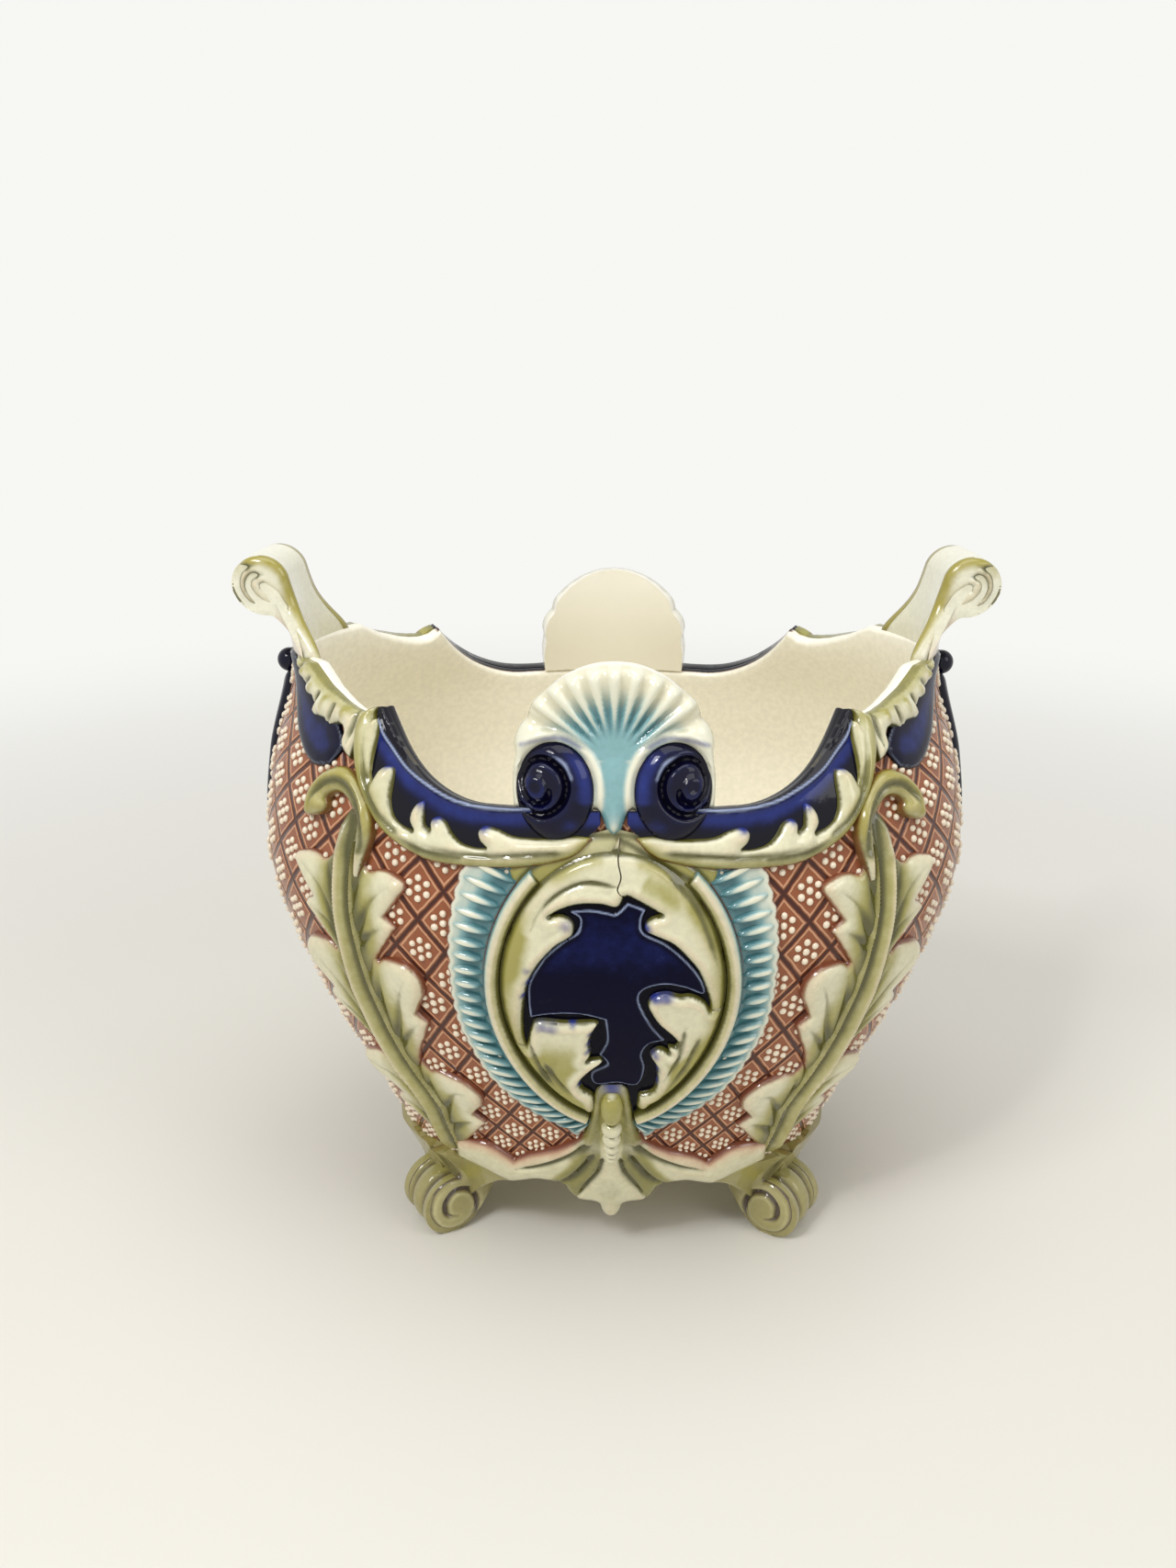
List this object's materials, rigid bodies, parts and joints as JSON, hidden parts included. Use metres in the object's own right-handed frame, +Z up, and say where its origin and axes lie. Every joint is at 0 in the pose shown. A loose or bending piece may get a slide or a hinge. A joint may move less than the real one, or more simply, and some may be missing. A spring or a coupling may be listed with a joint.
{
  "type": "jardiniere",
  "caption": "Oval glazed earthenware jardiniere with a scalloped rim, shell crests, rolled end handles, relief medallions and scroll feet.",
  "frame": {"origin": "on the ground under the centre of the oval body", "axes": "+X along the length, through the two rolled handles; +Y away from the front crest, towards the back; +Z up"},
  "size_m": [0.315, 0.2404, 0.297],
  "materials": {
    "brown_glaze": "gloss lead glaze over a stippled, coloured ground",
    "navy_glaze": "deep blue gloss glaze",
    "cream_glaze": "plain cream gloss glaze",
    "pale_green_glaze": "pale green gloss glaze",
    "olive_glaze": "olive yellow gloss glaze",
    "teal_glaze": "pale teal gloss glaze",
    "foot_glaze": "olive grey gloss glaze"
  },
  "bodies": {
    "root": {"wall_front": "brown_glaze", "wall_back": "brown_glaze", "wall_right": "brown_glaze", "wall_left": "brown_glaze", "bowl_floor": "cream_glaze", "shell_crest_front": "teal_glaze", "shell_crest_back": "teal_glaze", "volute_front_right": "navy_glaze", "volute_back_left": "navy_glaze", "volute_front_left": "navy_glaze", "volute_back_right": "navy_glaze", "rim_band_front_right": "navy_glaze", "rim_band_back_left": "navy_glaze", "rim_band_front_left": "navy_glaze", "rim_band_back_right": "navy_glaze", "rim_leaf_front_right": "olive_glaze", "rim_leaf_back_left": "olive_glaze", "rim_leaf_front_left": "olive_glaze", "rim_leaf_back_right": "olive_glaze", "corner_stem_front_right": "olive_glaze", "corner_stem_back_left": "olive_glaze", "corner_stem_front_left": "olive_glaze", "corner_stem_back_right": "olive_glaze", "medallion_ring_right_front": "pale_green_glaze", "medallion_ring_right_back": "pale_green_glaze", "medallion_ring_left_front": "pale_green_glaze", "medallion_ring_left_back": "pale_green_glaze", "medallion_frill_front_right": "teal_glaze", "medallion_frill_back_left": "teal_glaze", "medallion_frill_front_left": "teal_glaze", "medallion_frill_back_right": "teal_glaze", "medallion_upper_leaves_front": "pale_green_glaze", "medallion_lower_leaf_right_front": "pale_green_glaze", "medallion_lower_leaf_left_front": "pale_green_glaze", "medallion_panel_front": "navy_glaze", "apron_palmette_front": "pale_green_glaze", "bead_drop_front": "olive_glaze", "medallion_upper_leaves_back": "pale_green_glaze", "medallion_lower_leaf_right_back": "pale_green_glaze", "medallion_lower_leaf_left_back": "pale_green_glaze", "medallion_panel_back": "navy_glaze", "apron_palmette_back": "pale_green_glaze", "bead_drop_back": "olive_glaze", "end_rocaille_front_right": "pale_green_glaze", "end_rocaille_back_left": "pale_green_glaze", "end_rocaille_front_left": "pale_green_glaze", "end_rocaille_back_right": "pale_green_glaze", "end_field_front_right": "navy_glaze", "end_field_back_left": "navy_glaze", "end_field_front_left": "navy_glaze", "end_field_back_right": "navy_glaze", "end_strap_right": "navy_glaze", "end_strap_left": "navy_glaze", "handle_right": "cream_glaze", "handle_left": "cream_glaze", "foot_front_right": "foot_glaze", "foot_back_left": "foot_glaze", "foot_front_left": "foot_glaze", "foot_back_right": "foot_glaze"}
  },
  "joints": []
}
